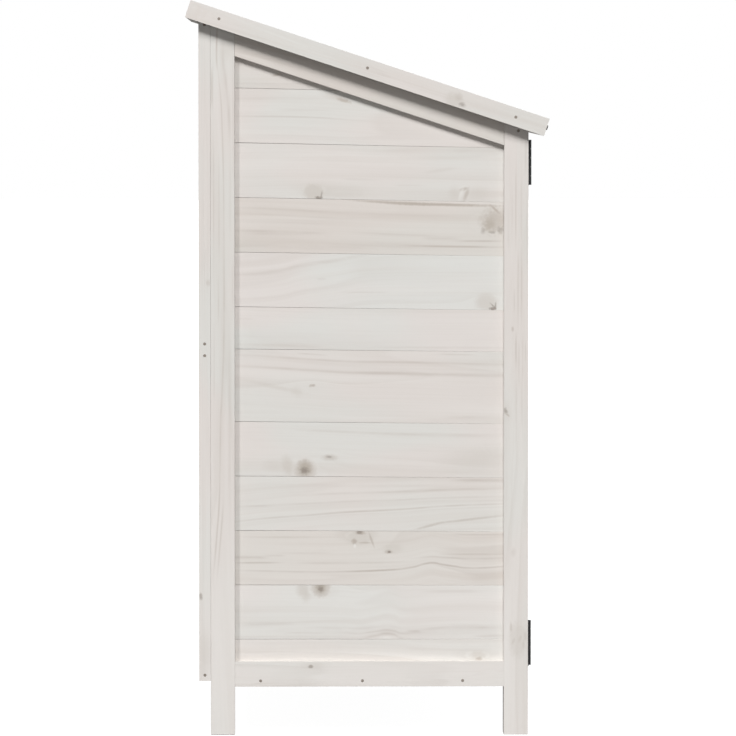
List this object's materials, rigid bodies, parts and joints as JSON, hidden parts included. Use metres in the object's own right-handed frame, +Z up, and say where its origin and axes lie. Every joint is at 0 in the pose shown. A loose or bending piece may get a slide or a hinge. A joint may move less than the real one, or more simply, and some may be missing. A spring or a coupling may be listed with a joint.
{
  "type": "garden tool shed",
  "caption": "Small lean-to garden tool shed of whitewashed boards on square posts, with hinged double doors, a sliding bolt, a slatted floor and a shelf.",
  "frame": {"origin": "on the ground, below the middle of the roof's width and depth", "axes": "+Z up, -Y out of the doors at the front, +X to the right of someone who faces the doors"},
  "size_m": [0.74, 0.4342, 0.8793],
  "materials": {
    "frame_wood": "matt whitewash over softwood",
    "board_wood": "matt whitewash over softwood",
    "roof_wood": "matt whitewash over softwood",
    "inner_wood": "thin matt whitewash over softwood",
    "black_iron": "satin black",
    "dark_screw": "dark phosphate",
    "nail_steel": "dull"
  },
  "bodies": {
    "cabinet": {"left_front_post": "frame_wood", "left_rear_post": "frame_wood", "right_front_post": "frame_wood", "right_rear_post": "frame_wood", "left_bottom_rail": "frame_wood", "right_bottom_rail": "frame_wood", "left_top_rail": "frame_wood", "right_top_rail": "frame_wood", "left_side_boards": "board_wood", "right_side_boards": "board_wood", "front_header": "frame_wood", "front_sill": "frame_wood", "top_door_stop": "inner_wood", "bottom_door_stop": "inner_wood", "upper_back_left_stile": "frame_wood", "upper_back_right_stile": "frame_wood", "upper_back_top_rail": "frame_wood", "upper_back_bottom_rail": "frame_wood", "upper_back_boards": "board_wood", "lower_back_left_stile": "frame_wood", "lower_back_right_stile": "frame_wood", "lower_back_top_rail": "frame_wood", "lower_back_bottom_rail": "frame_wood", "lower_back_boards": "board_wood", "left_floor_cleat": "inner_wood", "right_floor_cleat": "inner_wood", "floor_slats": "inner_wood", "left_shelf_cleat": "inner_wood", "right_shelf_cleat": "inner_wood", "shelf_slats": "inner_wood", "left_barge_board": "roof_wood", "right_barge_board": "roof_wood", "front_fascia": "roof_wood", "rear_fascia": "roof_wood", "roof_boards": "roof_wood", "fascia_screws": "dark_screw", "left_post_hinge_leaves": "black_iron", "left_hinge_pins": "black_iron", "right_post_hinge_leaves": "black_iron", "right_hinge_pins": "black_iron", "frame_nails": "nail_steel"},
    "left_door": {"left_door_hinge_stile": "frame_wood", "left_door_meeting_stile": "frame_wood", "left_door_top_rail": "frame_wood", "left_door_middle_rail": "frame_wood", "left_door_bottom_rail": "frame_wood", "left_door_upper_boards": "board_wood", "left_door_lower_boards": "board_wood", "left_door_hinge_leaves": "black_iron", "bolt_keeper": "black_iron"},
    "right_door": {"right_door_hinge_stile": "frame_wood", "right_door_meeting_stile": "frame_wood", "right_door_top_rail": "frame_wood", "right_door_middle_rail": "frame_wood", "right_door_bottom_rail": "frame_wood", "right_door_upper_boards": "board_wood", "right_door_lower_boards": "board_wood", "right_door_hinge_leaves": "black_iron", "bolt_plate": "black_iron"},
    "bolt": {"bolt_rod": "black_iron"}
  },
  "joints": [
    {"name": "left_door_hinge", "type": "hinge", "parent": "cabinet", "child": "left_door", "pos_m": [-0.322, -0.1951, 0.3968], "axis": [0, 0, -1], "range_deg": [0, 170]},
    {"name": "right_door_hinge", "type": "hinge", "parent": "cabinet", "child": "right_door", "pos_m": [0.322, -0.1951, 0.3968], "axis": [0, 0, 1], "range_deg": [0, 170]},
    {"name": "bolt_slide", "type": "slide", "parent": "right_door", "child": "bolt", "axis": [-1, 0, 0], "range_m": [0, 0.013]}
  ]
}
